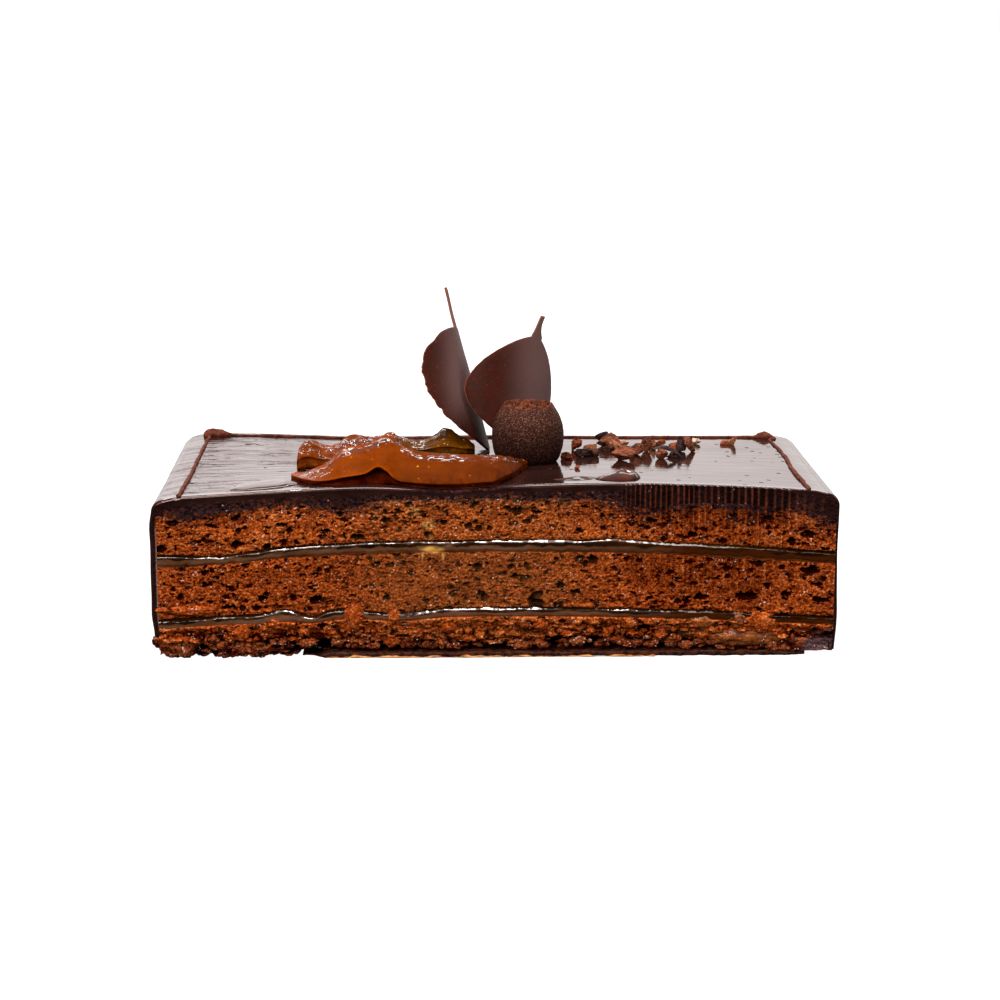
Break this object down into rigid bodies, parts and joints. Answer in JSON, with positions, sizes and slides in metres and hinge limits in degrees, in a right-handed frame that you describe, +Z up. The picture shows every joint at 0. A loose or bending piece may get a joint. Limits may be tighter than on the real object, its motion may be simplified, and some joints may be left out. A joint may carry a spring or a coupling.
{
  "type": "sachertorte",
  "caption": "Oblong glazed chocolate sponge cake portion, cut open along one long side to show its apricot jam layers, with candied fruit and chocolate decorations on top.",
  "frame": {"origin": "centre of the footprint on the surface that the cake stands on", "axes": "+X along the length, the cut face looks along -Y, +Z up"},
  "size_m": [0.115, 0.056, 0.0576],
  "materials": {
    "chocolate_sheet": "dark brittle chocolate, satin",
    "dark_crumb": "loose dark cake crumb, matte",
    "sponge": "open-pored brown chocolate sponge, matte and a little moist",
    "jam": "brown apricot jam, wet gloss",
    "glaze": "dark chocolate glaze, mirror gloss",
    "apricot": "candied apricot, translucent orange, wet gloss",
    "olive_apricot": "candied apricot, translucent olive amber, wet gloss",
    "dark_chocolate": "tempered dark chocolate, satin",
    "rolled_chocolate": "dark chocolate with a fine velvet grain, matte"
  },
  "bodies": {
    "root": {"base_sheet": "chocolate_sheet", "crumb_base": "dark_crumb", "sponge_bottom": "sponge", "jam_lower": "jam", "sponge_middle": "sponge", "jam_upper": "jam", "sponge_top": "sponge", "glaze": "glaze", "apricot_front": "apricot", "apricot_left": "apricot", "apricot_right": "olive_apricot", "leaf_left": "dark_chocolate", "leaf_right": "dark_chocolate", "chocolate_curl": "rolled_chocolate"}
  },
  "joints": []
}
